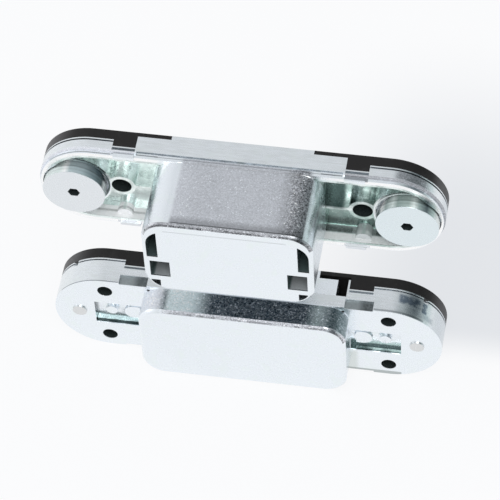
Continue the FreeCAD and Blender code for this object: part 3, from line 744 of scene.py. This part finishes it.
class HINGE_OT_castings(bpy.types.Operator):
    """Plate the castings of both halves and the arms"""
    bl_idname = "hinge.castings"
    bl_label = "Castings"

    def execute(self, context):
        zinc = context.scene.hinge_zinc
        door = zinc_finish("zinc_door_body", zinc, DOOR_MIDDLE, door_tones, door_openings)
        dress("door_body", door, zinc.bevel)
        housing = zinc_finish("zinc_frame_housing", zinc, FRAME_MIDDLE, frame_tones,
                              frame_openings)
        dress("frame_housing", housing, zinc.bevel)
        plain = zinc_finish("zinc_casting", zinc)
        for node in ("frame_carrier", "outer_arm_left", "outer_arm_right", "inner_arm"):
            dress(node, plain, zinc.bevel)
        return {"FINISHED"}


class HINGE_OT_caps(bpy.types.Operator):
    """Black moulded end caps and the plain washers"""
    bl_idname = "hinge.caps"
    bl_label = "Caps and washers"

    def execute(self, context):
        plastic = context.scene.hinge_plastic
        black = plastic_finish("cap_plastic", plastic, plastic.black, plastic.sheen, 0.5,
                               plastic.ends)
        bush = plastic_finish("bush_plastic", plastic, plastic.bush, plastic.bush, 0.45)
        for half in ("door", "frame"):
            for side in ("left", "right"):
                dress(f"{half}_cap_{side}", black, plastic.bevel)
        for place in ("centre", "pivot"):
            for side in ("left", "right"):
                dress(f"{place}_washer_{side}", bush, plastic.bevel * 0.3)
        return {"FINISHED"}


class HINGE_OT_screws(bpy.types.Operator):
    """Foot screws, tongues, clamp screws, stakes, pins and rollers"""
    bl_idname = "hinge.screws"
    bl_label = "Screws and pins"

    def execute(self, context):
        zinc = context.scene.hinge_zinc
        plate = zinc_finish("zinc_plate", zinc)
        steel = steel_finish("turned_steel", zinc.steel)
        ends = steel_finish("stake_steel", zinc.stake)
        for side, sign in (("left", -1), ("right", 1)):
            tones = foot_tones(sign * FOOT, FOOT_FACES[side], FOOT_SIDE_REFLECTIONS[side])
            foot = zinc_finish(f"zinc_foot_{side}", zinc, DOOR_MIDDLE, tones, foot_openings)
            dress(f"foot_screw_{side}", foot, zinc.bevel)
            for name in ("height_tongue", "height_screw"):
                dress(f"{name}_{side}", plate, zinc.bevel * 0.7)
            for name in ("door_roller", "frame_roller"):
                dress(f"{name}_{side}", steel, zinc.bevel * 0.5)
            dress(f"stake_{side}", ends, zinc.bevel * 0.5)
        for name in ("frame_pivot_pin", "door_pivot_pin", "centre_pin", "door_slide_pin",
                     "frame_slide_pin"):
            dress(name, steel, zinc.bevel * 0.6)
        return {"FINISHED"}


class HINGE_OT_stage(bpy.types.Operator):
    """Table top, room light and soft lamps"""
    bl_idname = "hinge.stage"
    bl_label = "Stage"

    def execute(self, context):
        stage = context.scene.hinge_stage
        build_floor(stage)
        build_room(stage)
        build_lamp("key_lamp", (0.15, -0.55, 0.95), 0.6, stage.key)
        build_lamp("fill_lamp", (-0.75, -0.25, 0.45), 0.5, stage.fill)
        return {"FINISHED"}


def seen_rays(flow):
    """1 for what the camera, a mirror or glass sees, 0 for the light on the object."""
    rays = flow.node("ShaderNodeLightPath").socket.node.outputs
    camera, glossy, clear = [Flow(flow.tree, rays[name]) for name in
                             ("Is Camera Ray", "Is Glossy Ray", "Is Transmission Ray")]
    return flow.math("ADD", flow.math("ADD", camera, glossy), clear, clamp=True)


def build_floor(stage):
    """A table top that takes the object's shadow; the camera sees it as a pale backdrop, with a
    painted shadow to the right of the hinge.
    """
    mesh = bpy.data.meshes.new("table")
    corners = [(x * TABLE_SIZE, y * TABLE_SIZE, 0) for x, y in
               ((-1, -1), (1, -1), (1, 1), (-1, 1))]
    mesh.from_pydata(corners, [], [(0, 1, 2, 3)])
    table = bpy.data.objects.new("table", mesh)
    bpy.context.scene.collection.objects.link(table)
    material, shader, flow = new_finish("table_top", 0.0, 0.6)
    shader.inputs["Base Color"].default_value = rgba(stage.floor)
    parts = flow.node("ShaderNodeSeparateXYZ", None, {0: flow.node("ShaderNodeTexCoord", out=3)})
    along, behind = [Flow(flow.tree, parts.socket.node.outputs[n]) / MM for n in (0, 1)]
    # Painted shadow on the backdrop, to the right of the hinge
    backdrop_shadow = along.above(25.0, 28.0) * behind.above(13.0, 7.0) * (1.0 - behind.above(95.0, 40.0))
    tone = backdrop_shadow.mix(rgba(stage.seen), rgba(stage.backdrop_shadow))
    glow = flow.node("ShaderNodeEmission", None, {"Color": tone, "Strength": 1.0})
    links = {0: seen_rays(flow) * stage.hold, 1: Flow(flow.tree, shader.outputs[0]), 2: glow}
    top = flow.node("ShaderNodeMixShader", None, links)
    output = flow.tree.nodes["Material Output"]
    flow.tree.links.new(top.socket, output.inputs["Surface"])
    mesh.materials.append(material)


def build_room(stage):
    """The world lights evenly; the metal sees it darken to the right, with a pale end there."""
    world = bpy.data.worlds.new("room")
    world.use_nodes = True
    bpy.context.scene.world = world
    flow = Flow(world.node_tree)
    even = world.node_tree.nodes["Background"]
    even.inputs["Color"].default_value = rgba(stage.room)
    place = flow.node("ShaderNodeTexCoord")
    parts = flow.node("ShaderNodeSeparateXYZ", None, {0: place})
    tone = (parts * 0.5 + 0.5).curve(((0.0, (0.95, 0.96, 0.98)), (0.38, (0.80, 0.81, 0.83)),
                                      (0.52, (0.68, 0.70, 0.72)), (0.64, (0.42, 0.46, 0.47)),
                                      (0.80, (0.05, 0.07, 0.08)), (0.86, (0.08, 0.10, 0.11)),
                                      (0.885, (0.85, 0.92, 0.92)), (0.905, (0.60, 0.72, 0.715)),
                                      (1.0, (0.60, 0.71, 0.705))))
    mirrored = flow.node("ShaderNodeBackground", None, {"Color": tone, "Strength": 1.0})
    links = {0: seen_rays(flow), 1: Flow(flow.tree, even.outputs[0]), 2: mirrored}
    both = flow.node("ShaderNodeMixShader", None, links)
    output = flow.tree.nodes["World Output"]
    flow.tree.links.new(both.socket, output.inputs["Surface"])


def build_lamp(name, place, size, watts):
    """A square soft lamp that points at the hinge."""
    lamp = bpy.data.lights.new(name, "AREA")
    lamp.shape = "SQUARE"
    lamp.size = size
    lamp.energy = watts
    holder = bpy.data.objects.new(name, lamp)
    holder.location = place
    aim = LAMP_AIM - Vector(place)
    holder.rotation_euler = aim.to_track_quat("-Z", "Y").to_euler()
    bpy.context.scene.collection.objects.link(holder)


class HINGE_OT_camera(bpy.types.Operator):
    """Camera at the photograph's angle"""
    bl_idname = "hinge.camera"
    bl_label = "Camera"

    def execute(self, context):
        camera = bpy.data.cameras.new("camera")
        camera.sensor_width = 36.0
        camera.lens = CAMERA_LENS
        camera.clip_end = 20.0
        holder = bpy.data.objects.new("camera", camera)
        holder.location = CAMERA_PLACE
        holder.rotation_euler = [math.radians(angle) for angle in CAMERA_TURN]
        context.scene.collection.objects.link(holder)
        context.scene.camera = holder
        context.scene.view_settings.view_transform = "Standard"
        return {"FINISHED"}


class HINGE_PT_panel(bpy.types.Panel):
    """Lists the steps that dress the hinge"""
    bl_label = "Hinge"
    bl_idname = "HINGE_PT_panel"
    bl_space_type = "VIEW_3D"
    bl_region_type = "UI"
    bl_category = "Hinge"

    def draw(self, context):
        for step in STEPS:
            self.layout.operator(step.bl_idname)


STEPS = (HINGE_OT_castings, HINGE_OT_caps, HINGE_OT_screws, HINGE_OT_stage, HINGE_OT_camera)
GROUPS = {"hinge_zinc": HingeZinc, "hinge_plastic": HingePlastic, "hinge_stage": HingeStage}


def register():
    for name, group in GROUPS.items():
        bpy.utils.register_class(group)
        setattr(bpy.types.Scene, name, PointerProperty(type=group))
    for step in STEPS + (HINGE_PT_panel,):
        bpy.utils.register_class(step)


def unregister():
    for step in reversed(STEPS + (HINGE_PT_panel,)):
        bpy.utils.unregister_class(step)
    for name, group in GROUPS.items():
        delattr(bpy.types.Scene, name)
        bpy.utils.unregister_class(group)


def main():
    register()
    for step in STEPS:
        area, name = step.bl_idname.split(".")
        getattr(getattr(bpy.ops, area), name)()


if __name__ == "__main__":
    main()
